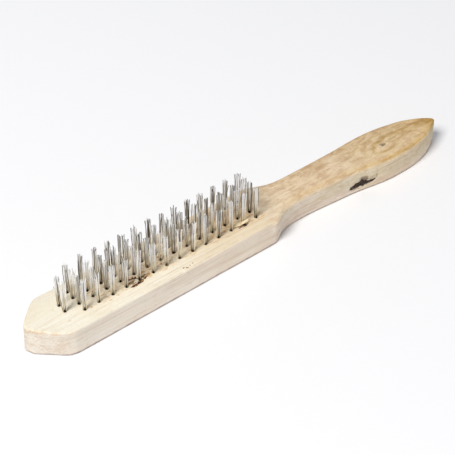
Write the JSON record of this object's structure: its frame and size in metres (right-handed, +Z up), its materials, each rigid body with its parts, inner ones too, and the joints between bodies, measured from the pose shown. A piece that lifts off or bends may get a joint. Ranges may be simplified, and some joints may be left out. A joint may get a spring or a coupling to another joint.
{
  "type": "wire scratch brush",
  "caption": "Long wooden scratch brush: a flat board with a pointed nose and a waisted handle, its head set with rows of upright steel wire tufts.",
  "frame": {"origin": "under the middle of the whole brush, on its flat back: the centre of the bottom of its bounding box", "axes": "+X along the brush from the nose to the tip of the handle, +Y across it to the far side, +Z up out of the bristles, so the brush lies on its back"},
  "size_m": [0.297, 0.035, 0.0388],
  "materials": {
    "wood": "bare sanded hardwood with fine straight grain, paler on the head, browner and handled on the grip, torn fibres between the tufts",
    "steel_wire": "bright drawn steel wire, cut ends, slightly dulled"
  },
  "bodies": {
    "root": {"wooden_body": "wood", "wire_tuft_b01": "steel_wire", "wire_tuft_c01": "steel_wire", "wire_tuft_a02": "steel_wire", "wire_tuft_b02": "steel_wire", "wire_tuft_c02": "steel_wire", "wire_tuft_d02": "steel_wire", "wire_tuft_a03": "steel_wire", "wire_tuft_b03": "steel_wire", "wire_tuft_c03": "steel_wire", "wire_tuft_d03": "steel_wire", "wire_tuft_a04": "steel_wire", "wire_tuft_b04": "steel_wire", "wire_tuft_c04": "steel_wire", "wire_tuft_d04": "steel_wire", "wire_tuft_a05": "steel_wire", "wire_tuft_b05": "steel_wire", "wire_tuft_c05": "steel_wire", "wire_tuft_d05": "steel_wire", "wire_tuft_a06": "steel_wire", "wire_tuft_b06": "steel_wire", "wire_tuft_c06": "steel_wire", "wire_tuft_d06": "steel_wire", "wire_tuft_a07": "steel_wire", "wire_tuft_b07": "steel_wire", "wire_tuft_c07": "steel_wire", "wire_tuft_d07": "steel_wire", "wire_tuft_a08": "steel_wire", "wire_tuft_b08": "steel_wire", "wire_tuft_c08": "steel_wire", "wire_tuft_d08": "steel_wire", "wire_tuft_a09": "steel_wire", "wire_tuft_b09": "steel_wire", "wire_tuft_c09": "steel_wire", "wire_tuft_d09": "steel_wire", "wire_tuft_a10": "steel_wire", "wire_tuft_b10": "steel_wire", "wire_tuft_c10": "steel_wire", "wire_tuft_d10": "steel_wire", "wire_tuft_a11": "steel_wire", "wire_tuft_b11": "steel_wire", "wire_tuft_c11": "steel_wire", "wire_tuft_d11": "steel_wire", "wire_tuft_a12": "steel_wire", "wire_tuft_b12": "steel_wire", "wire_tuft_c12": "steel_wire", "wire_tuft_d12": "steel_wire", "wire_tuft_a13": "steel_wire", "wire_tuft_b13": "steel_wire", "wire_tuft_c13": "steel_wire", "wire_tuft_d13": "steel_wire", "wire_tuft_a14": "steel_wire", "wire_tuft_b14": "steel_wire", "wire_tuft_c14": "steel_wire", "wire_tuft_d14": "steel_wire", "wire_tuft_a15": "steel_wire", "wire_tuft_b15": "steel_wire", "wire_tuft_c15": "steel_wire", "wire_tuft_d15": "steel_wire"}
  },
  "joints": []
}
